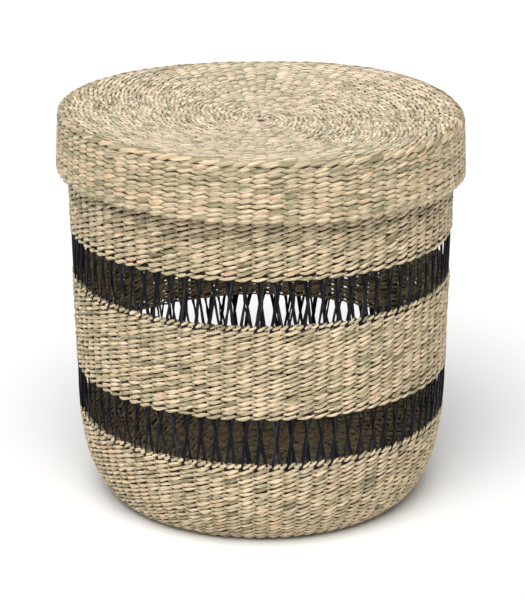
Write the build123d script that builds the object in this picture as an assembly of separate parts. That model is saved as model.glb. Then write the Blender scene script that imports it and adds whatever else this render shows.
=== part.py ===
from build123d import *
import os
from math import pi

# Lidded woven basket, in millimetres. +Z is up and the front faces -Y. The origin is the middle of the
# flat base. Pale twined weave is held on dark stakes, which lie bare and crossed in two open bands of the
# wall. A lift-off lid with a deep skirt sits over the rim.

# ---- driving dimensions ----
LID_DIAMETER = 400.0            # over the lower edge of the lid's skirt, the widest place
LID_CORNER_DIAMETER = 395.0     # over the skirt just below the lid's rounded corner
RIM_DIAMETER = 380.0            # over the wall at the mouth
BEND_DIAMETER = 369.0           # over the wall where it starts to curve in
BASE_DIAMETER = 292.0           # of the flat that the basket stands on
MOUTH_HEIGHT = 386.0            # from the floor to the top of the rim
BEND_HEIGHT = 122.0             # below this the wall curves in to the base
FOOT_HEIGHT = 30.0              # below this the curve is tight, and its rows are the foot
SKIRT_BOTTOM = 333.5            # height of the skirt's lower edge

WALL = 6.0                      # the twined weave: a weaver in front of each stake and one behind it
ROW = 4.7                       # height of one twined row
LOWER_OPEN_BAND = (92.0, 137.0)     # heights of the two open bands
UPPER_OPEN_BAND = (231.5, 275.0)

STAKES = 80                     # round the basket's wall
LID_STAKES = 88                 # round the lid's skirt
STAKE_WIDTH = 3.4
STAKE_THICKNESS = 1.6
KNOT_RADIUS = 13.0              # the crossed start in the middle of the base and of the lid
FIRST_ADDED_RADIUS = 45.0       # here a stake is added between each two, which doubles their number
SECOND_ADDED_RADIUS = 95.0      # and here again
STRAND_SHIFT = 0.2              # a crossed strand's ends stand this many stake spacings to either side

LID_CLEARANCE = 0.4             # between the rim and the underside of the lid
LID_DISH = 12.0                 # how far the middle of the lid lies below its edge
DISH_RADIUS = 183.0             # the lid is flat from here to its corner
LID_CORNER = 7.0                # radius of the rounded corner between the lid's top and skirt
EDGE_ROW_RADIUS = 186.0         # inner edge of the long-stitched row round the lid's corner
EDGE_ROW_BOTTOM = 381.0         # lower edge of the same row

RIM_RADIUS = RIM_DIAMETER / 2
BEND_RADIUS = BEND_DIAMETER / 2
BASE_RADIUS = BASE_DIAMETER / 2
SKIRT_RADIUS = LID_DIAMETER / 2
CORNER_RADIUS = LID_CORNER_DIAMETER / 2
LID_TOP = MOUTH_HEIGHT + LID_CLEARANCE + WALL
WIDE = LID_DIAMETER             # past every part of a section
STAKE_FACES = ((WALL - STAKE_THICKNESS) / 2, (WALL + STAKE_THICKNESS) / 2)


# ---- half sections, with X as the radius and Y as the height ----
# A depth is a distance in from the outer surface of the weave.

def wall_outline(depth):
    """The basket's outline at a depth: flat base, elliptical bend and straight wall."""
    across = BEND_RADIUS - BASE_RADIUS - depth
    base = Line((0, depth), (BASE_RADIUS, depth))
    bend = EllipticalCenterArc((BASE_RADIUS, BEND_HEIGHT), across, BEND_HEIGHT - depth,
                               start_angle=-90, arc_size=90)
    wall = Line((BEND_RADIUS - depth, BEND_HEIGHT), (RIM_RADIUS - depth, MOUTH_HEIGHT))
    return [base, bend, wall]


def lid_outline(depth):
    """The lid's outline at a depth: dished top, flat edge, rounded corner and flared skirt."""
    top = LID_TOP - depth
    corner = (CORNER_RADIUS - LID_CORNER, LID_TOP - LID_CORNER)
    dish = TangentArc((0, top - LID_DISH), (DISH_RADIUS, top), tangent=(1, 0))
    flat = Line((DISH_RADIUS, top), (corner[0], top))
    bend = CenterArc(corner, LID_CORNER - depth, 0, 90)
    skirt = Line((CORNER_RADIUS - depth, corner[1]), (SKIRT_RADIUS - depth, SKIRT_BOTTOM))
    return [dish, flat, bend, skirt]


def layer(outline, near, far):
    """The section between two depths of an outline."""
    outer, inner = outline(near), outline(far)
    ends = [Line(outer[0] @ 0, inner[0] @ 0), Line(outer[-1] @ 1, inner[-1] @ 1)]
    return make_face(outer + inner + ends)


def window(radii, heights):
    """A rectangle that keeps the stretch of a section between two radii and two heights."""
    width, height = radii[1] - radii[0], heights[1] - heights[0]
    return Pos(radii[0] + width / 2, heights[0] + height / 2) * Rectangle(width, height)


# ---- solids ----

def ring(section):
    """The solid that a half section sweeps round the axis."""
    return revolve(Plane.XZ * section, Axis.Z)


def strip(section):
    """A flat stake of even width that follows a half section."""
    return extrude(Plane.XZ * section, STAKE_WIDTH / 2, both=True)


def around(solid, count, first=0, step=1):
    """Copies of a solid at every step-th of count even places round the axis, from place first."""
    return [Rot(0, 0, 360 * place / count) * solid for place in range(first, count, step)]


def stakes_from_knot(stake_layer, count, ends):
    """Three sets of stakes: from the knot, and added at each of the two radii where they double."""
    sets = ((KNOT_RADIUS, 0, 4), (FIRST_ADDED_RADIUS, 2, 4), (SECOND_ADDED_RADIUS, 1, 2))
    return [around(strip(stake_layer & window((radius, WIDE), ends)), count, first, step)
            for radius, first, step in sets]


def open_band_strands(band, lean):
    """A strand for each stake, leaning right on the outside for lean 1, or left on the inside for -1.
    Its ends meet the rows above and below the band."""
    low, high = band
    rise = ((low + high) / 2 - BEND_HEIGHT) / (MOUTH_HEIGHT - BEND_HEIGHT)
    radius = BEND_RADIUS + rise * (RIM_RADIUS - BEND_RADIUS) - WALL / 2
    shift = lean * STRAND_SHIFT * 2 * pi * radius / STAKES
    left, right = -STAKE_WIDTH / 2, STAKE_WIDTH / 2
    outline = Polyline((left - shift, low), (right - shift, low), (right + shift, high),
                       (left + shift, high), close=True)
    face = Plane.XZ.offset(radius) * make_face(outline)
    return around(extrude(face, lean * STAKE_THICKNESS), STAKES)


parts = {}

# ---- the basket ----
WEAVE = layer(wall_outline, 0, WALL)
STAKE = layer(wall_outline, *STAKE_FACES)


def weave_ring(heights, radii=(BASE_RADIUS, WIDE)):
    """A ring of the basket's weave between two heights and two radii."""
    return [ring(WEAVE & window(radii, heights))]


def wall_stakes(heights):
    """The stakes in a band of the wall between two heights, gripped by its weave."""
    return around(strip(STAKE & window((BASE_RADIUS, WIDE), heights)), STAKES)


(low_start, low_end), (up_start, up_end) = LOWER_OPEN_BAND, UPPER_OPEN_BAND
border_start = MOUTH_HEIGHT - ROW

low_stakes = stakes_from_knot(STAKE, STAKES, (0, low_start))
parts["base_centre_knot"] = weave_ring((0, WALL), (0, KNOT_RADIUS))
parts["base_weave"] = weave_ring((0, WALL), (KNOT_RADIUS, BASE_RADIUS))
parts["centre_stakes"], parts["first_added_stakes"], parts["second_added_stakes"] = low_stakes
parts["foot_weave"] = weave_ring((0, FOOT_HEIGHT))
parts["lower_weave_band"] = weave_ring((FOOT_HEIGHT, low_start - ROW))
parts["row_under_lower_open_band"] = weave_ring((low_start - ROW, low_start))
parts["lower_open_band_outer_strands"] = open_band_strands(LOWER_OPEN_BAND, 1)
parts["lower_open_band_inner_strands"] = open_band_strands(LOWER_OPEN_BAND, -1)
parts["row_over_lower_open_band"] = weave_ring((low_end, low_end + ROW))
parts["middle_stakes"] = wall_stakes((low_end, up_start))
parts["middle_weave_band"] = weave_ring((low_end + ROW, up_start - ROW))
parts["row_under_upper_open_band"] = weave_ring((up_start - ROW, up_start))
parts["upper_open_band_outer_strands"] = open_band_strands(UPPER_OPEN_BAND, 1)
parts["upper_open_band_inner_strands"] = open_band_strands(UPPER_OPEN_BAND, -1)
parts["row_over_upper_open_band"] = weave_ring((up_end, up_end + ROW))
parts["upper_stakes"] = wall_stakes((up_end, border_start))
parts["upper_weave_band"] = weave_ring((up_end + ROW, border_start))
parts["rim_border"] = weave_ring((border_start, MOUTH_HEIGHT))

# ---- the lid ----
LID_WEAVE = layer(lid_outline, 0, WALL)
LID_STAKE = layer(lid_outline, *STAKE_FACES)


def lid_ring(radii, heights=(SKIRT_BOTTOM, LID_TOP)):
    """A ring of the lid's weave between two radii and two heights."""
    return [ring(LID_WEAVE & window(radii, heights))]


SKIRT_RADII = (EDGE_ROW_RADIUS, WIDE)
skirt_border_top = SKIRT_BOTTOM + ROW

lid_stakes = stakes_from_knot(LID_STAKE, LID_STAKES, (skirt_border_top, LID_TOP))
parts["lid_centre_stakes"], parts["lid_first_added_stakes"], parts["lid_second_added_stakes"] = lid_stakes
parts["lid_centre_knot"] = lid_ring((0, KNOT_RADIUS))
parts["lid_top_weave"] = lid_ring((KNOT_RADIUS, EDGE_ROW_RADIUS))
parts["lid_edge_row"] = lid_ring(SKIRT_RADII, (EDGE_ROW_BOTTOM, LID_TOP))
parts["lid_skirt_weave"] = lid_ring(SKIRT_RADII, (skirt_border_top, EDGE_ROW_BOTTOM))
parts["lid_skirt_border"] = lid_ring(SKIRT_RADII, (SKIRT_BOTTOM, skirt_border_top))

os.makedirs("parts", exist_ok=True)
for name, solids in parts.items():
    export_step(Compound(children=solids), f"parts/{name}.step")
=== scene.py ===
import math

import bpy
import numpy as np
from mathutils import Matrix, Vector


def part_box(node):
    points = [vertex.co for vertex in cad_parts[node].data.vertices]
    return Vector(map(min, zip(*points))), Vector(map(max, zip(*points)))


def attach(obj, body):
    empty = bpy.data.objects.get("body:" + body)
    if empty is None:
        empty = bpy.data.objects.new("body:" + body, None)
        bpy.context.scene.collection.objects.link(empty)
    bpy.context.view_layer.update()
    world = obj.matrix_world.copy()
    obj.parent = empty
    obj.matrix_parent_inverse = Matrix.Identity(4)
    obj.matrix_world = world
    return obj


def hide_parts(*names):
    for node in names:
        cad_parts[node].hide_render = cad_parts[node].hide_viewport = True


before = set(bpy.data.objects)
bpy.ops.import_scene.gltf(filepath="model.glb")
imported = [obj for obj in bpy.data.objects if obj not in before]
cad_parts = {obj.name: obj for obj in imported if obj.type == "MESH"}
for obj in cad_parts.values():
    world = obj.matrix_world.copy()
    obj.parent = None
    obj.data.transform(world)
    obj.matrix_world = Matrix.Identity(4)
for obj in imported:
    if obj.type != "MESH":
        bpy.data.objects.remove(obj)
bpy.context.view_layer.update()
chance = np.random.default_rng(7)
MM = 0.001

# ---- the basket's measures, in metres, read from the frame ----
BASE_LOW, BASE_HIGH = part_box("base_weave")
WALL = BASE_HIGH[2] - BASE_LOW[2]
BASE_RADIUS = BASE_HIGH[0]
KNOT_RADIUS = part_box("base_centre_knot")[1][0]
FOOT_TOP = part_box("foot_weave")[1][2]
LOWER_BAND = (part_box("row_under_lower_open_band")[1][2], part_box("row_over_lower_open_band")[0][2])
UPPER_BAND = (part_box("row_under_upper_open_band")[1][2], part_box("row_over_upper_open_band")[0][2])
ROW = LOWER_BAND[0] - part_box("row_under_lower_open_band")[0][2]
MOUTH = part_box("rim_border")[1][2]
RIM_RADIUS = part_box("rim_border")[1][0]
SKIRT_BOTTOM, SKIRT_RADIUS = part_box("lid_skirt_border")[0][2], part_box("lid_skirt_border")[1][0]
SKIRT_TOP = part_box("lid_skirt_weave")[1][2]
LID_TOP, CORNER_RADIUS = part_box("lid_edge_row")[1][2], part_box("lid_edge_row")[1][0]
LID_WEAVE_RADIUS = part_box("lid_top_weave")[1][0]
DISH = LID_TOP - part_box("lid_centre_knot")[1][2]
MIDDLE = WALL / 2                   # depth of the weave's middle surface

# Shape that the frame's boxes don't give
BEND_HEIGHT = 122 * MM              # below this the wall curves in to the base
BEND_RADIUS = 184.5 * MM
DISH_RADIUS = 183 * MM
LID_CORNER = 7 * MM
STAKES = 80
LID_STAKES = 88
DOUBLED_AT = (45 * MM, 95 * MM)     # radii where the number of stakes doubles

# ---- how a twined row is made ----
STEPS = 6                           # samples of a weaver from one stake to the next
SIDES = 8                           # corners of a weaver's section
FULLNESS = 0.85                     # below 1 a section is fuller than an ellipse
SWING = 1.7 * MM                    # how far a weaver's middle stands in front of or behind the stakes
SLANT = 1.55 * MM                   # how far it climbs and falls between two stakes
HALF_WIDTH = 2.5 * MM
HALF_THICKNESS = 1.15 * MM
EDGE_GAP = 0.8 * MM                 # left between a row beside an open band and the next row
FLATNESS = 0.75                     # below 1 a weaver stays flat against the stake that it passes
NARROWING = 1.5                     # above 1 a weaver is narrow for longer between stakes
PRESSED = 0.12                      # how much thinner it is where it passes a stake
EDGE_SHADE = 4                      # the higher, the narrower the shaded edge of a strand
ROWS_PER_MESH = 12
LID_STITCH = {"slant": 1.5 * MM, "half_width": 2.75 * MM, "waist": 0.36, "ahead": 0.22}
SKIRT_STITCH = {"swing": 1.25 * MM, **LID_STITCH}
LONG_STITCH = {"weavers": 3, "swing": 1.15 * MM, "waist": 0.25, "ahead": 0.4}
SPREADING_STITCH = {"slant": 1.35 * MM, "half_width": 2.15 * MM, "waist": 0.75}
GATHERING_STITCH = {"slant": 1.3 * MM, "half_width": 1.9 * MM, "waist": 0.6}
RIM_STITCH = {"slant": 1.5 * MM, "waist": 0.6}

# How far stitches climb along the outline as they pass in front from left to right, as a share of their
# slant. The basket's outline runs up its wall and the lid's runs down its skirt, so all climb to the right.
WALL_SLOPE = 1
LID_SLOPE = -0.75
EDGE_SLOPE = -0.8
SKIRT_SLOPE = -0.65

# How uneven hand weaving is, as standard deviations
UNEVEN_SPACING = 0.05               # of the stakes, in stake spacings
UNEVEN_ROW = 0.05                   # of the weavers' size, from row to row
UNEVEN_WIDTH = 0.11                 # and along a weaver
UNEVEN_THICKNESS = 0.08
UNEVEN_SWING = 0.12
UNEVEN_SLANT = 0.25
ROW_SHIFT = 0.12 * MM               # of a whole row up or down
ROW_WAVE = 0.15 * MM                # of a row on its way round
WEAVER_WAVE = 0.25 * MM             # of one weaver on its way round
STITCH_TONES = 0.19                 # from stitch to stitch
WEAVER_TONES = 0.06                 # from weaver to weaver
SEEDS = 50                          # range of the random places in a material's noise
SEED_STEP = 0.37                    # from one stitch's place there to the next one's
FIBRE_RADIUS = 20 * MM              # nearer to the middle the fibres are as long as here


# ---- outlines: radius, height and outward direction along the weave's middle surface ----

def sample_line(a, b, count=200):
    t = np.linspace(0, 1, count)[:, None]
    return np.array(a) * (1 - t) + np.array(b) * t


def sample_arc(centre, across, up, start, end, count=400):
    """An elliptical arc, with its angles in degrees."""
    angle = np.radians(np.linspace(start, end, count))
    return np.stack([centre[0] + across * np.cos(angle), centre[1] + up * np.sin(angle)], 1)


def wall_outline(depth):
    bend = sample_arc((BASE_RADIUS, BEND_HEIGHT), BEND_RADIUS - BASE_RADIUS - depth, BEND_HEIGHT - depth,
                      -90, 0)
    return np.concatenate([sample_line((KNOT_RADIUS, depth), (BASE_RADIUS, depth)), bend[1:],
                           sample_line(bend[-1], (RIM_RADIUS - depth, MOUTH))[1:]])


def lid_outline(depth):
    curve = (DISH_RADIUS ** 2 + DISH ** 2) / (2 * DISH)
    radius = np.linspace(KNOT_RADIUS, DISH_RADIUS, 300)
    dish = np.stack([radius, LID_TOP - depth - DISH + curve - np.sqrt(curve ** 2 - radius ** 2)], 1)
    corner = (CORNER_RADIUS - LID_CORNER, LID_TOP - LID_CORNER)
    turn = sample_arc(corner, LID_CORNER - depth, LID_CORNER - depth, 90, 0, 100)
    return np.concatenate([dish, turn, sample_line(turn[-1], (SKIRT_RADIUS - depth, SKIRT_BOTTOM))[1:]])


def unit(vectors):
    return vectors / np.linalg.norm(vectors, axis=-1, keepdims=True)


def turned(pairs, ring):
    """(radius, height) pairs as points or directions in space, each turned to its direction on a ring."""
    return np.concatenate([ring * pairs[..., :1], pairs[..., 1:]], -1)


class Outline:
    """A half section of the weave, read by the distance along it."""

    REACH = 2 * MM                  # the way along is read over this far to either side
    SIDE_START = 0.79               # the side starts past this share of the widest radius

    def __init__(self, points, side):
        self.points = points
        self.length = np.concatenate([[0], np.cumsum(np.hypot(*np.diff(points, axis=0).T))])
        self.side = side            # 1 if outward lies to the right of the way along, -1 if to the left

    def at(self, s):
        """Position, way along and outward direction, each as (radius, height), at distances s."""
        here, ahead, back = (
            np.stack([np.interp(s + d, self.length, self.points[:, i]) for i in (0, 1)], -1)
            for d in (0, self.REACH, -self.REACH))
        along = unit(ahead - back)
        outward = self.side * np.stack([along[..., 1], -along[..., 0]], -1)
        return here, along, outward

    def s_at_height(self, height):
        """Distance along to a height on the side."""
        start = np.argmax(self.points[:, 0] > self.SIDE_START * self.points[:, 0].max())
        h, s = self.points[start:, 1], self.length[start:]
        order = np.argsort(h)
        return float(np.interp(height, h[order], s[order]))

    def s_at_radius(self, radius):
        """Distance along to a radius on the base or on the lid's top."""
        return float(np.interp(radius, self.points[:, 0], self.length))


BASKET = Outline(wall_outline(MIDDLE), 1)
LID = Outline(lid_outline(MIDDLE), -1)


# ---- the unevenness of hand weaving, the same for every piece that passes through a place ----

def smooth_step(x):
    x = np.clip(x, 0, 1)
    return x * x * (3 - 2 * x)


# Each wave: how often it repeats round the wall, radians for each metre up it, where it starts, its size
WAVES = [(k, m, chance.uniform(0, 2 * math.pi), chance.uniform(0.5, 1))
         for k in (2, 3, 5, 7) for m in (12, 28, 50)]
WAVE_SIZE = 0.0022                  # of the radius
WAVE_RADIUS, WAVE_HEIGHT = 60 * MM, 30 * MM     # the waves have their full size past these
LEAN = 0.018                        # the mouth and the lid sit a little higher on the left
BACK_LIFT = 4.5 * MM                # and they rise again at the back on the right
LEAN_HEIGHT = 70 * MM               # over which the lean sets in above the upper open band
SWELL = 1.004                       # stitches stand out a little past the middle of the weave
FOOT_TUCK = 0.02                    # the foot draws in a little towards the floor
TUCK_HEIGHT = 45 * MM               # where it starts to


def settle(points):
    """Moves points by the basket's slow waves round and up the wall, and by the lean of its mouth."""
    x, y, z = points[:, 0], points[:, 1], points[:, 2]
    angle, radius = np.arctan2(y, x), np.hypot(x, y)
    wave = sum(size * np.sin(k * angle + m * z + phase) / k for k, m, phase, size in WAVES)
    grow = SWELL + WAVE_SIZE * wave * smooth_step(radius / WAVE_RADIUS) * smooth_step(z / WAVE_HEIGHT)
    grow -= FOOT_TUCK * (1 - smooth_step(z / TUCK_HEIGHT)) * smooth_step(radius / BASE_RADIUS)
    back_right = 2 * np.maximum(x, 0) * np.maximum(y, 0) / RIM_RADIUS ** 2
    up = (BACK_LIFT * back_right - LEAN * x) * smooth_step((z - UPPER_BAND[1]) / LEAN_HEIGHT)
    return np.stack([x * grow, y * grow, z + up], 1)


# ---- meshes ----

def make_object(name, points, faces, tone, fibre, hidden, finish, stands_for):
    """A mesh piece. finish is its material, body and slot, of which the slot is not used, and stands_for is
    the CAD node it replaces.
    """
    material, body, slot = finish
    mesh = bpy.data.meshes.new(name)
    mesh.vertices.add(len(points))
    mesh.vertices.foreach_set("co", np.ascontiguousarray(points, np.float32).ravel())
    mesh.loops.add(faces.size)
    mesh.loops.foreach_set("vertex_index", faces.astype(np.int32).ravel())
    mesh.polygons.add(len(faces))
    mesh.polygons.foreach_set("loop_start", np.arange(0, faces.size, faces.shape[1], dtype=np.int32))
    mesh.polygons.foreach_set("use_smooth", np.ones(len(faces), bool))
    mesh.update(calc_edges=True)
    # Each point's tone, and the painted shade that darkens strands where they tuck under.
    for label, values in (("tone", tone), ("hidden", hidden)):
        mesh.attributes.new(label, "FLOAT", "POINT").data.foreach_set("value", values.astype(np.float32))
    places = mesh.attributes.new("fibre", "FLOAT_VECTOR", "POINT")
    places.data.foreach_set("vector", fibre.astype(np.float32).ravel())
    mesh.materials.append(material)
    made = bpy.data.objects.new(name, mesh)
    bpy.context.scene.collection.objects.link(made)
    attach(made, body)
    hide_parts(stands_for)


def tubes(centre, wide, thick, half_width, half_thickness, closed):
    """Points and faces of strands. centre, wide and thick are (strands, samples, 3), and the half sizes
    are (strands, samples). Closed strands run round in a ring, and open ones have flat ends."""
    strands, samples = centre.shape[:2]
    angle = np.arange(SIDES) * 2 * math.pi / SIDES
    c, s = np.cos(angle), np.sin(angle)
    full = np.sign(s) * np.abs(s) ** FULLNESS
    points = (centre[:, :, None] + wide[:, :, None] * (half_width[..., None] * c)[..., None]
              + thick[:, :, None] * (half_thickness[..., None] * full)[..., None])
    index = np.arange(strands * samples * SIDES).reshape(strands, samples, SIDES)
    if closed:
        near, far = index, np.roll(index, -1, 1)
    else:
        near, far = index[:, :-1], index[:, 1:]
    faces = np.stack([near, np.roll(near, -1, 2), np.roll(far, -1, 2), far], -1).reshape(-1, 4)
    if not closed:
        caps = [index[:, 0, ::-1], index[:, -1]]
        corners = range(1, SIDES - 2, 2)
        faces = np.concatenate([faces] + [cap[:, [0, i, i + 1, i + 2]] for cap in caps for i in corners])
    return points.reshape(-1, 3), faces


def section_places(count):
    """Where each point of a strand's section lies, from -1 to 1: across it, and from back to front."""
    angle = np.tile(np.arange(SIDES), count // SIDES) * 2 * math.pi / SIDES
    return np.cos(angle), np.round(np.sin(angle), 6)


def wander(count, samples, size):
    """Random values at count places round a ring, joined smoothly into samples."""
    value = chance.normal(0, size, count)
    place = np.arange(samples) * count / samples
    i = np.floor(place).astype(int)
    t = smooth_step(place - i)
    return value[i % count] * (1 - t) + value[(i + 1) % count] * t


class Weave:
    """Rows of twining that are gathered into one mesh."""

    def __init__(self):
        self.points, self.faces, self.tone, self.fibre, self.hidden, self.count = [], [], [], [], [], 0

    def row(self, outline, s, stakes, weavers=2, slope=WALL_SLOPE, swing=SWING, slant=SLANT,
            half_width=HALF_WIDTH, waist=0.5, ahead=0.0, pitch=ROW):
        """One row: each weaver passes in front of the stakes and behind them in turn, and the weavers
        change places between stakes. waist is how narrow stitches get there, and a weaver with ahead above
        0 stays longer in front than behind."""
        samples = stakes * STEPS
        u = np.arange(samples) / STEPS
        theta = 2 * math.pi * (u + wander(stakes, samples, UNEVEN_SPACING)) / stakes
        ring = np.stack([np.cos(theta), np.sin(theta)], 1)
        rounds = max(round(stakes / weavers), 1)
        scale = pitch / ROW
        row_size = 1 + chance.normal(0, UNEVEN_ROW)
        s = s + chance.normal(0, ROW_SHIFT) + wander(stakes // 4, samples, ROW_WAVE)
        centre, wide, thick, widths, depths, tones, fibres, fronts = [], [], [], [], [], [], [], []
        for j in range(weavers):
            phase = 2 * math.pi * (u * rounds / stakes + j / weavers)
            front, side = np.clip(np.cos(phase) + ahead, -1, 1), np.sin(phase)
            size = row_size * (1 + wander(stakes, samples, UNEVEN_WIDTH))
            out = swing * np.sign(front) * np.abs(front) ** FLATNESS
            out = out * (1 + wander(stakes, samples, UNEVEN_SWING))
            climb = slope * slant * scale * side * (1 + wander(stakes, samples, UNEVEN_SLANT))
            here, along, outward = outline.at(s + (climb + wander(stakes, samples, WEAVER_WAVE)))
            place = here + outward * out[:, None]
            centre.append(turned(place, ring))
            wide.append(turned(along, ring))
            thick.append(turned(outward, ring))
            narrow = waist + (1 - waist) * np.abs(front) ** NARROWING
            widths.append(half_width * scale * narrow * size)
            pressed = 1 - PRESSED * front ** 2
            depths.append(HALF_THICKNESS * pressed * (1 + wander(stakes, samples, UNEVEN_THICKNESS)))
            fronts.append(front)
            # Each half turn is one stitch, with a tone and a place in the noise of its own.
            stitch = np.floor(phase / math.pi + 0.5).astype(int) % (2 * rounds)
            each = chance.normal(0.5, STITCH_TONES, 2 * rounds) + chance.normal(0, WEAVER_TONES)
            tones.append(np.clip(each, 0, 1)[stitch])
            fibres.append(np.stack([theta * np.maximum(place[:, 0], FIBRE_RADIUS),
                                    np.full(samples, chance.uniform(0, SEEDS)),
                                    chance.uniform(0, SEEDS) + stitch * SEED_STEP], 1))
        points, faces = tubes(np.array(centre), np.array(wide), np.array(thick), np.array(widths),
                              np.array(depths), True)
        fibre = np.repeat(np.array(fibres).reshape(-1, 3), SIDES, 0)
        edge, face = section_places(len(points))
        fibre[:, 1] += edge
        # Painted shade, darkest along a strand's edges and on the side that faces the stakes.
        passing = (1 - np.repeat(np.array(fronts).ravel(), SIDES) * np.sign(face)) / 2
        hidden = np.maximum(np.abs(edge) ** EDGE_SHADE, smooth_step(passing * 1.4 - 0.3) * (face != 0))
        self.points.append(points)
        self.faces.append(faces + self.count)
        self.tone.append(np.repeat(np.array(tones).ravel(), SIDES))
        self.fibre.append(fibre)
        self.hidden.append(hidden)
        self.count += len(points)

    def make(self, name, finish, stands_for):
        make_object(name, settle(np.concatenate(self.points)), np.concatenate(self.faces),
                    np.concatenate(self.tone), np.concatenate(self.fibre), np.concatenate(self.hidden),
                    finish, stands_for)


# ---- materials ----

def fill(tree, socket, value):
    if isinstance(value, bpy.types.NodeSocket):
        tree.links.new(value, socket)
    else:
        socket.default_value = value


def node(tree, kind, **inputs):
    made = tree.nodes.new(kind)
    for key, value in inputs.items():
        fill(tree, made.inputs[key], value)
    return made


def maths(tree, operation, *values):
    made = tree.nodes.new("ShaderNodeMath")
    made.operation = operation
    for socket, value in zip(made.inputs, values):
        fill(tree, socket, value)
    return made.outputs[0]


def streaks(tree, fibre, scale, detail, roughness):
    """Noise drawn out along the strands. scale is along them, across them, and from strand to strand."""
    stretch = node(tree, "ShaderNodeMapping", Vector=fibre.outputs["Vector"], Scale=scale)
    noise = node(tree, "ShaderNodeTexNoise", Vector=stretch.outputs[0], Scale=1.0, Detail=detail,
                 Roughness=roughness)
    return noise.outputs["Fac"]


ROUGHNESS = 0.6
ROUGHNESS_CHANGE = 0.4              # from the streaks' lowest to their highest
BUMP_HEIGHT = 0.5 * MM
TONE_CHANGE = 2.04                  # how far the broad streaks move a stitch along its colours
STREAK_CONTRAST = 2.1               # between the fine streaks' light and dark
DARKEST_PAINTED_SHADE = 0.06                      # share of a colour that is left under the deepest painted shade
BROAD_STREAKS, FINE_STREAKS = (70, 1.0, 1), (60, 2.6, 1)


def grass(name, stops, shade, specular=0.3):
    """Dry grass: each stitch has its own tone and is streaked along the strand, and painted shade darkens
    it where it tucks under."""
    material = bpy.data.materials.new(name)
    material.use_nodes = True
    tree = material.node_tree
    shader = tree.nodes["Principled BSDF"]
    tone, fibre, hidden = (node(tree, "ShaderNodeAttribute") for _ in range(3))
    tone.attribute_name, fibre.attribute_name, hidden.attribute_name = "tone", "fibre", "hidden"
    broad = streaks(tree, fibre, BROAD_STREAKS, 2.0, 0.5)
    fine = streaks(tree, fibre, FINE_STREAKS, 3.0, 0.6)
    streaked = maths(tree, "MULTIPLY_ADD", maths(tree, "SUBTRACT", broad, 0.5), TONE_CHANGE,
                     tone.outputs["Fac"])
    ramp = node(tree, "ShaderNodeValToRGB", Fac=streaked)
    while len(ramp.color_ramp.elements) < len(stops):
        ramp.color_ramp.elements.new(0.5)
    for element, (place, colour) in zip(ramp.color_ramp.elements, stops):
        element.position = place
        element.color = (*colour, 1)
    light = maths(tree, "MULTIPLY_ADD", maths(tree, "SUBTRACT", fine, 0.5), STREAK_CONTRAST, 1.0)
    # Painted shade darkens the colour where strands tuck under, down to a least share.
    painted_shade_factor = maths(tree, "MULTIPLY_ADD", hidden.outputs["Fac"], -shade, 1.0)
    strength = maths(tree, "MULTIPLY", light, maths(tree, "MAXIMUM", painted_shade_factor, DARKEST_PAINTED_SHADE))
    colour = node(tree, "ShaderNodeVectorMath")
    colour.operation = "SCALE"
    tree.links.new(ramp.outputs["Color"], colour.inputs[0])
    tree.links.new(strength, colour.inputs["Scale"])
    tree.links.new(colour.outputs[0], shader.inputs["Base Color"])
    rough = maths(tree, "MULTIPLY_ADD", fine, ROUGHNESS_CHANGE, ROUGHNESS - ROUGHNESS_CHANGE / 2)
    tree.links.new(rough, shader.inputs["Roughness"])
    height = maths(tree, "MULTIPLY_ADD", broad, 1.5, fine)
    lift = node(tree, "ShaderNodeBump", Height=height, Strength=0.8, Distance=BUMP_HEIGHT)
    tree.links.new(lift.outputs[0], shader.inputs["Normal"])
    shader.inputs["Specular IOR Level"].default_value = specular
    return material


# The pale colours run from green-grey through straw and cream to peach and tan.
STOPS = (0.0, 0.25, 0.5, 0.72, 0.88, 1.0)
PALE = grass("seagrass", list(zip(STOPS, (
    (0.24, 0.21, 0.12), (0.44, 0.37, 0.225), (0.58, 0.465, 0.29),
    (0.77, 0.63, 0.43), (0.78, 0.58, 0.39), (0.60, 0.41, 0.25)))), shade=0.45)
# Lighter copy of the seagrass for the lid's top: painted light, for the light falling on it from above.
PALE_LID_PAINTED_LIGHTER = grass("lid seagrass painted lighter", list(zip(STOPS, (
    (0.29, 0.26, 0.16), (0.46, 0.405, 0.27), (0.61, 0.52, 0.365),
    (0.83, 0.71, 0.55), (0.84, 0.65, 0.47), (0.68, 0.48, 0.30)))), shade=0.5)
# Darker copy for the lid's skirt: painted shade on the lid's side, which takes less light.
PALE_SKIRT_PAINTED_DARKER = grass("skirt seagrass painted darker", list(zip(STOPS, (
    (0.27, 0.24, 0.135), (0.42, 0.36, 0.22), (0.52, 0.425, 0.27),
    (0.68, 0.55, 0.38), (0.74, 0.54, 0.35), (0.60, 0.41, 0.24)))), shade=0.4)
# Near black dye; the lightest bluish-grey tones are partly the dye's uneven tone, partly painted highlight.
BLACK_WITH_PAINTED_HIGHLIGHTS = grass("dyed strand with painted highlights", [(0.0, (0.004, 0.004, 0.006)), (0.6, (0.008, 0.008, 0.013)),
                              (0.85, (0.02, 0.02, 0.03)), (1.0, (0.05, 0.05, 0.065))],
              shade=0.0, specular=0.18)
# Lid stakes painted dark brown, as dark as the shade in the gaps between the lid's rows: painted shade.
BROWN_PAINTED_SHADE = grass("lid stake painted shade", [(0.0, (0.06, 0.045, 0.025)), (1.0, (0.15, 0.11, 0.065))], shade=0.0)

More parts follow.
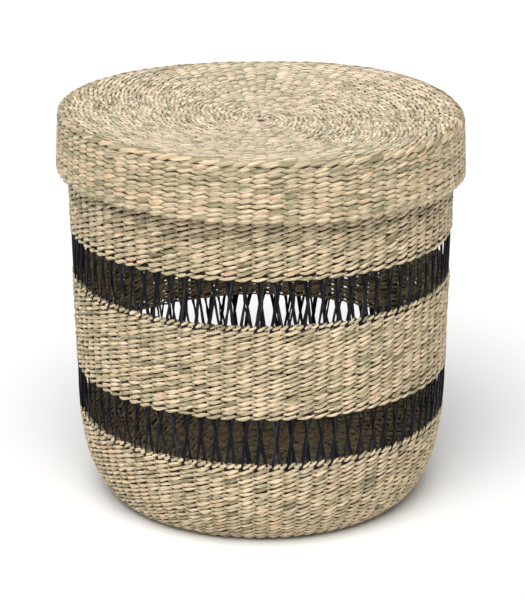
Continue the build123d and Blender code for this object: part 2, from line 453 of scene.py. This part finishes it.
BASKET_GRASS = (PALE, "basket", "seagrass")
LID_GRASS_PAINTED_LIGHTER = (PALE_LID_PAINTED_LIGHTER, "lid", "lid_seagrass")
SKIRT_GRASS_PAINTED_DARKER = (PALE_SKIRT_PAINTED_DARKER, "lid", "lid_seagrass")
OPEN_STRANDS = (BLACK_WITH_PAINTED_HIGHLIGHTS, "basket", "dark_strands")
BASKET_STAKES = (BLACK_WITH_PAINTED_HIGHLIGHTS, "basket", "dark_stakes")
BROWN_STAKES_PAINTED_SHADE = (BROWN_PAINTED_SHADE, "lid", "lid_stakes")


# ---- the basket's weave ----

def stakes_at(radius, full):
    return full // 4 if radius < DOUBLED_AT[0] else full // 2 if radius < DOUBLED_AT[1] else full


def weave_rows(name, outline, start, end, full, finish, stands_for, slope, **stitch):
    """Even rows between two distances along an outline, in as many meshes as keep each one light."""
    count = max(round((end - start) / ROW), 1)
    pitch = (end - start) / count
    groups = math.ceil(count / ROWS_PER_MESH)
    for g in range(groups):
        weave = Weave()
        for i in range(g * count // groups, (g + 1) * count // groups):
            s = start + pitch * (i + 0.5)
            radius = float(outline.at(np.array([s]))[0][0, 0])
            weave.row(outline, s, stakes_at(radius, full), slope=slope, pitch=pitch, **stitch)
        weave.make(name if groups == 1 else f"{name}_{g + 1}", finish, stands_for)


def one_row(name, outline, s, stakes, finish, stands_for, **stitch):
    weave = Weave()
    weave.row(outline, s, stakes, **stitch)
    weave.make(name, finish, stands_for)


up_to = BASKET.s_at_height
base_end = BASKET.s_at_radius(BASE_RADIUS - MM)
foot_end = up_to(FOOT_TOP)
for name, start, end, stands_for in (
        ("base_twining", 0, base_end, "base_weave"),
        ("foot_twining", base_end, foot_end, "foot_weave"),
        ("lower_twining", foot_end, up_to(LOWER_BAND[0] - ROW) - EDGE_GAP, "lower_weave_band"),
        ("middle_twining", up_to(LOWER_BAND[1] + ROW) + EDGE_GAP, up_to(UPPER_BAND[0] - ROW) - EDGE_GAP,
         "middle_weave_band"),
        ("upper_twining", up_to(UPPER_BAND[1] + ROW) + EDGE_GAP, up_to(MOUTH - ROW), "upper_weave_band")):
    weave_rows(name, BASKET, start, end, STAKES, BASKET_GRASS, stands_for, WALL_SLOPE)
for part, band in (("lower", LOWER_BAND), ("upper", UPPER_BAND)):
    one_row(f"{part}_spreading_row", BASKET, up_to(band[0] - ROW / 2), 2 * STAKES, BASKET_GRASS,
            f"row_under_{part}_open_band", **SPREADING_STITCH)
    one_row(f"{part}_gathering_row", BASKET, up_to(band[1] + ROW / 2), STAKES, BASKET_GRASS,
            f"row_over_{part}_open_band", **GATHERING_STITCH)
one_row("bound_rim", BASKET, up_to(MOUTH - ROW / 2), 2 * STAKES, BASKET_GRASS, "rim_border", **RIM_STITCH)

# ---- the lid's weave ----
edge_start = LID.s_at_radius(LID_WEAVE_RADIUS)
skirt_start = LID.s_at_height(SKIRT_TOP)
skirt_end = LID.s_at_height(SKIRT_BOTTOM + ROW)
weave_rows("lid_twining", LID, 0, edge_start, LID_STAKES, LID_GRASS_PAINTED_LIGHTER, "lid_top_weave", LID_SLOPE,
           **LID_STITCH)
edge = Weave()
third = (skirt_start - edge_start) / 3
edge.row(LID, edge_start + third * 0.5, LID_STAKES, slope=EDGE_SLOPE, pitch=third, **SKIRT_STITCH)
edge.row(LID, edge_start + third * 1.5, LID_STAKES, slope=LID_SLOPE, pitch=third * 1.1, **LONG_STITCH)
edge.row(LID, edge_start + third * 2.5, LID_STAKES, slope=EDGE_SLOPE, pitch=third, **SKIRT_STITCH)
edge.make("lid_long_stitches", SKIRT_GRASS_PAINTED_DARKER, "lid_edge_row")
weave_rows("lid_skirt_twining", LID, skirt_start, skirt_end, LID_STAKES, SKIRT_GRASS_PAINTED_DARKER, "lid_skirt_weave",
           SKIRT_SLOPE, **SKIRT_STITCH)
one_row("lid_skirt_edge", LID, LID.s_at_height(SKIRT_BOTTOM + ROW / 2), LID_STAKES, SKIRT_GRASS_PAINTED_DARKER,
        "lid_skirt_border", slope=SKIRT_SLOPE, **SKIRT_STITCH)

# ---- stakes and bare strands ----
STRAND_SIZE = (1.0 * MM, 0.36 * MM)             # half width and half thickness
STAKE_STRAND = (1.25 * MM, 0.4 * MM)
STRAND_END = 0.45                               # size of a strand's end, as a share of the rest
STRAND_TWIST = 0.25                             # radians at each end
UNEVEN_STRAND, STRAND_RANGE = 0.14, (0.6, 1.4)  # of the strands' widths
STRAND_TONE = (0.4, 0.25)                       # middle and spread
STAKE_STRANDS = 5                               # side by side in a stake
STRAND_SPACING = 2.3 * MM
STAKE_ROOM = 13 * MM                            # where stakes stand nearer than this, so do their strands
PINHOLES = 0.5                                  # share of a stake's outer strands that are left out

# The crossed arms of an open band. Places across are in stake spacings from an arm's own stake.
THIRD_STRAND = 0.6                              # share of the arms with three strands, not two
ARM_SPREAD = (0.07, 0.11)                       # from one strand of an arm to the next
ARM_FOOT, ARM_HEAD = 0.34, 0.27                 # the outermost strand where it leaves and meets the rows
ARM_END = 0.46                                  # and where it ends between them
UNEVEN_ARM, UNEVEN_CROSSING = 0.03, 0.05
CROSSING = (0.45, 0.65)                         # the crossings' heights, as shares of the band's
INTO_ROW, RUN_ON = 0.3, 1.5                     # rows past the band's edges: where it leans from and ends


def flat_strands(name, outline, paths, finish, stands_for, size):
    """Narrow flat strands. Each path is (distances along the outline, angles, depths), with one value for
    each sample. size is the half width and the half thickness."""
    half_width, half_thickness = size
    s, theta, out = (np.array([p[i] for p in paths]) for i in range(3))
    here, _, outward = outline.at(s)
    ring = np.stack([np.cos(theta), np.sin(theta)], -1)
    centre, normal = turned(here + outward * out[..., None], ring), turned(outward, ring)
    twist = chance.normal(0, STRAND_TWIST, (len(paths), 1, 1))
    turn = twist * np.linspace(-1, 1, s.shape[1])[None, :, None]
    side = unit(np.cross(unit(np.gradient(centre, axis=1)), normal))
    wide = side * np.cos(turn) + normal * np.sin(turn)
    thick = normal * np.cos(turn) - side * np.sin(turn)
    taper = np.ones(s.shape)
    taper[:, [0, -1]] = STRAND_END
    widths = half_width * np.clip(chance.normal(1, UNEVEN_STRAND, (len(paths), 1)), *STRAND_RANGE) * taper
    points, faces = tubes(centre, wide, thick, widths, half_thickness * taper, False)
    each = np.clip(chance.normal(*STRAND_TONE, len(paths)), 0, 1)
    tone = np.repeat(each, s.shape[1] * SIDES)
    seed = np.repeat(chance.uniform(0, SEEDS, len(paths)), s.shape[1] * SIDES)
    fibre = np.stack([np.repeat(s.ravel(), SIDES), section_places(tone.size)[0] + seed, seed], 1)
    make_object(name, settle(points), faces, tone, fibre, np.zeros(tone.size), finish, stands_for)


def crossed_paths(band, lean, samples=14):
    """The strands that lean one way in an open band: two or three for each stake. Above and below the
    band they run on between the rows, nearly half way to the next stake."""
    bottom, foot = up_to(band[0] - RUN_ON * ROW), up_to(band[0] - INTO_ROW * ROW)
    head, top = up_to(band[1] + INTO_ROW * ROW), up_to(band[1] + RUN_ON * ROW)
    s = bottom + (top - bottom) * np.linspace(0, 1, samples)
    spacing = 2 * math.pi / STAKES
    paths = []
    for i in range(STAKES):
        many = 2 + (chance.random() < THIRD_STRAND)
        spread = chance.uniform(*ARM_SPREAD)
        for k in range(many):
            low = -lean * (ARM_FOOT - spread * k + chance.normal(0, UNEVEN_ARM))
            high = lean * (ARM_HEAD - spread * k + chance.normal(0, UNEVEN_ARM))
            crossing = foot + (head - foot) * chance.uniform(*CROSSING)
            places = [-lean * ARM_END, low, chance.normal(0, UNEVEN_CROSSING), high, lean * ARM_END]
            across = np.interp(s, [bottom, foot, crossing, head, top], places)
            depth = lean * (0.5 + 0.6 * k) * MM * np.ones(samples)
            paths.append((s, (i + across) * spacing, depth))
    return paths


def stake_paths(outline, start, end, full, samples, first=0, step=1, missing=0.0):
    """Flat bundles of strands, side by side, along an outline at every step-th stake. missing is the share
    of the outermost strands that are left out, which leaves pinholes between the stakes."""
    s = np.linspace(start, end, samples)
    radius = np.maximum(outline.at(s)[0][:, 0], KNOT_RADIUS)
    room = np.minimum(1, radius * 2 * math.pi / (full / step) / STAKE_ROOM)
    paths = []
    for i in range(first, full, step):
        for k in range(STAKE_STRANDS):
            if k in (0, STAKE_STRANDS - 1) and chance.random() < missing:
                continue
            offset = (k - (STAKE_STRANDS - 1) / 2) * STRAND_SPACING
            paths.append((s, i * 2 * math.pi / full + offset * room / radius, np.zeros(samples)))
    return paths


for part, band in (("lower", LOWER_BAND), ("upper", UPPER_BAND)):
    for side, lean in (("outer", 1), ("inner", -1)):
        flat_strands(f"{part}_{side}_crossed_strands", BASKET, crossed_paths(band, lean), OPEN_STRANDS,
                     f"{part}_open_band_{side}_strands", STRAND_SIZE)

low_end = up_to(LOWER_BAND[0])
for label, first, step, radius in (("centre", 0, 4, KNOT_RADIUS), ("first_added", 2, 4, DOUBLED_AT[0]),
                                   ("second_added", 1, 2, DOUBLED_AT[1])):
    paths = stake_paths(BASKET, BASKET.s_at_radius(radius), low_end, STAKES, 40, first, step)
    flat_strands(f"{label}_stake_strands", BASKET, paths, BASKET_STAKES, f"{label}_stakes", STAKE_STRAND)
    paths = stake_paths(LID, LID.s_at_radius(radius), skirt_end, LID_STAKES, 48, first, step)
    flat_strands(f"lid_{label}_stake_strands", LID, paths, BROWN_STAKES_PAINTED_SHADE, f"lid_{label}_stakes",
                 STAKE_STRAND)
for label, low, high in (("middle", LOWER_BAND[1], UPPER_BAND[0]), ("upper", UPPER_BAND[1], MOUTH - ROW)):
    paths = stake_paths(BASKET, up_to(low), up_to(high), STAKES, 10, missing=PINHOLES)
    flat_strands(f"{label}_stake_strands", BASKET, paths, BASKET_STAKES, f"{label}_stakes", STAKE_STRAND)

# ---- the crossed starts in the middle of the base and of the lid ----
KNOT_STRANDS = 7                                # each way
KNOT_SAMPLES = 14
KNOT_STRAND_SIZE = (1.75 * MM, 0.9 * MM)        # half width and half thickness
KNOT_SWING = 0.55 * MM                          # how far a strand passes over and under the others
KNOT_FIBRE = 0.03                               # length of a strand in the material's noise
KNOT_TONE = (0.5, 0.2)                          # middle and spread
PAINTED_HOLE_SHADE, PAINTED_HOLE_RADIUS = 3, 4 * MM            # painted shade for the hole in the middle


def centre_knot(name, height, finish, stands_for):
    """Short strands crossed over and under each other, with painted shade in the middle for the hole there.
    """
    t = np.linspace(-1, 1, KNOT_SAMPLES)
    lines = []
    for layer in (0, 1):
        for k in range(KNOT_STRANDS):
            offset = (k - (KNOT_STRANDS - 1) / 2) / (KNOT_STRANDS / 2)
            reach = KNOT_RADIUS * math.sqrt(max(1 - offset ** 2 * 0.8, 0.1)) * 1.12
            over = np.cos(t * math.pi * KNOT_STRANDS / 2 + math.pi * (k + layer)) * KNOT_SWING
            x, y = t * reach, np.full(KNOT_SAMPLES, offset * KNOT_RADIUS)
            lines.append(np.stack([-y, x, height + over] if layer else [x, y, height + over], 1))
    centre = np.array(lines)
    thick = np.zeros_like(centre)
    thick[..., 2] = 1
    wide = np.cross(unit(np.gradient(centre, axis=1)), thick)
    half_width, half_thickness = (half * np.ones(centre.shape[:2]) for half in KNOT_STRAND_SIZE)
    points, faces = tubes(centre, wide, thick, half_width, half_thickness, False)
    tone = np.repeat(np.clip(chance.normal(*KNOT_TONE, len(lines)), 0, 1), KNOT_SAMPLES * SIDES)
    along = np.tile(np.linspace(0, KNOT_FIBRE, KNOT_SAMPLES), len(lines))
    fibre = np.stack([np.repeat(along, SIDES), section_places(tone.size)[0], tone * 40], 1)
    # Painted shade in the middle, standing in for the hole between the crossed strands.
    hidden = PAINTED_HOLE_SHADE * np.exp(-(points[:, 0] ** 2 + points[:, 1] ** 2) / PAINTED_HOLE_RADIUS ** 2)
    make_object(name, points, faces, tone, fibre, hidden, finish, stands_for)


centre_knot("base_crossed_start", MIDDLE, BASKET_GRASS, "base_centre_knot")
centre_knot("lid_crossed_start", LID_TOP - DISH - MIDDLE, LID_GRASS_PAINTED_LIGHTER, "lid_centre_knot")

# ---- floor, backdrop, light and camera ----
FLOOR_SIZE = 14
FLOOR_COLOUR = (0.84, 0.84, 0.84, 1)
# The backdrop's brightness falls from To Min at the horizon to To Max overhead, between two heights of a
# direction of length 1.
SKY = {"From Min": 0.12, "From Max": 0.2, "To Min": 1.0, "To Max": 0.3}
SUN_STRENGTH = 3.45
SUN_WIDTH = math.radians(45)
SUN_TURN = (math.radians(31), 0, math.radians(-10))
CAMERA_LENS, CAMERA_SENSOR = 143.8, 36          # millimetres
CAMERA_SHIFT = 0.0025
CAMERA_DISTANCE = 11.32 * SKIRT_RADIUS
CAMERA_HEIGHT = LID_TOP + 2.897 * SKIRT_RADIUS
VIEW_PITCH = math.radians(18.97)

scene = bpy.context.scene
floor_paint = bpy.data.materials.new("floor")
floor_paint.use_nodes = True
paint = floor_paint.node_tree.nodes["Principled BSDF"].inputs
paint["Base Color"].default_value = FLOOR_COLOUR
paint["Roughness"].default_value = 0.9
paint["Specular IOR Level"].default_value = 0.1
bpy.ops.mesh.primitive_plane_add(size=FLOOR_SIZE)
floor = bpy.context.object
floor.name = "floor"
floor.data.materials.append(floor_paint)

world = bpy.data.worlds.new("studio")
scene.world = world
world.use_nodes = True
tree = world.node_tree
sky = tree.nodes["Background"]
sky.inputs["Color"].default_value = (1, 1, 1, 1)
way = node(tree, "ShaderNodeSeparateXYZ", Vector=node(tree, "ShaderNodeTexCoord").outputs["Generated"])
fall = node(tree, "ShaderNodeMapRange", Value=way.outputs["Z"], **SKY)
tree.links.new(fall.outputs[0], sky.inputs["Strength"])

sun = bpy.data.lights.new("softbox", "SUN")
sun.energy = SUN_STRENGTH
sun.angle = SUN_WIDTH
softbox = bpy.data.objects.new("softbox", sun)
scene.collection.objects.link(softbox)
softbox.rotation_euler = SUN_TURN

camera_data = bpy.data.cameras.new("camera")
camera_data.lens = CAMERA_LENS
camera_data.sensor_width = CAMERA_SENSOR
camera_data.shift_x = CAMERA_SHIFT
camera = bpy.data.objects.new("camera", camera_data)
scene.collection.objects.link(camera)
camera.location = (0, -CAMERA_DISTANCE, CAMERA_HEIGHT)
camera.rotation_euler = (math.pi / 2 - VIEW_PITCH, 0, 0)
scene.camera = camera
scene.view_settings.view_transform = "Standard"
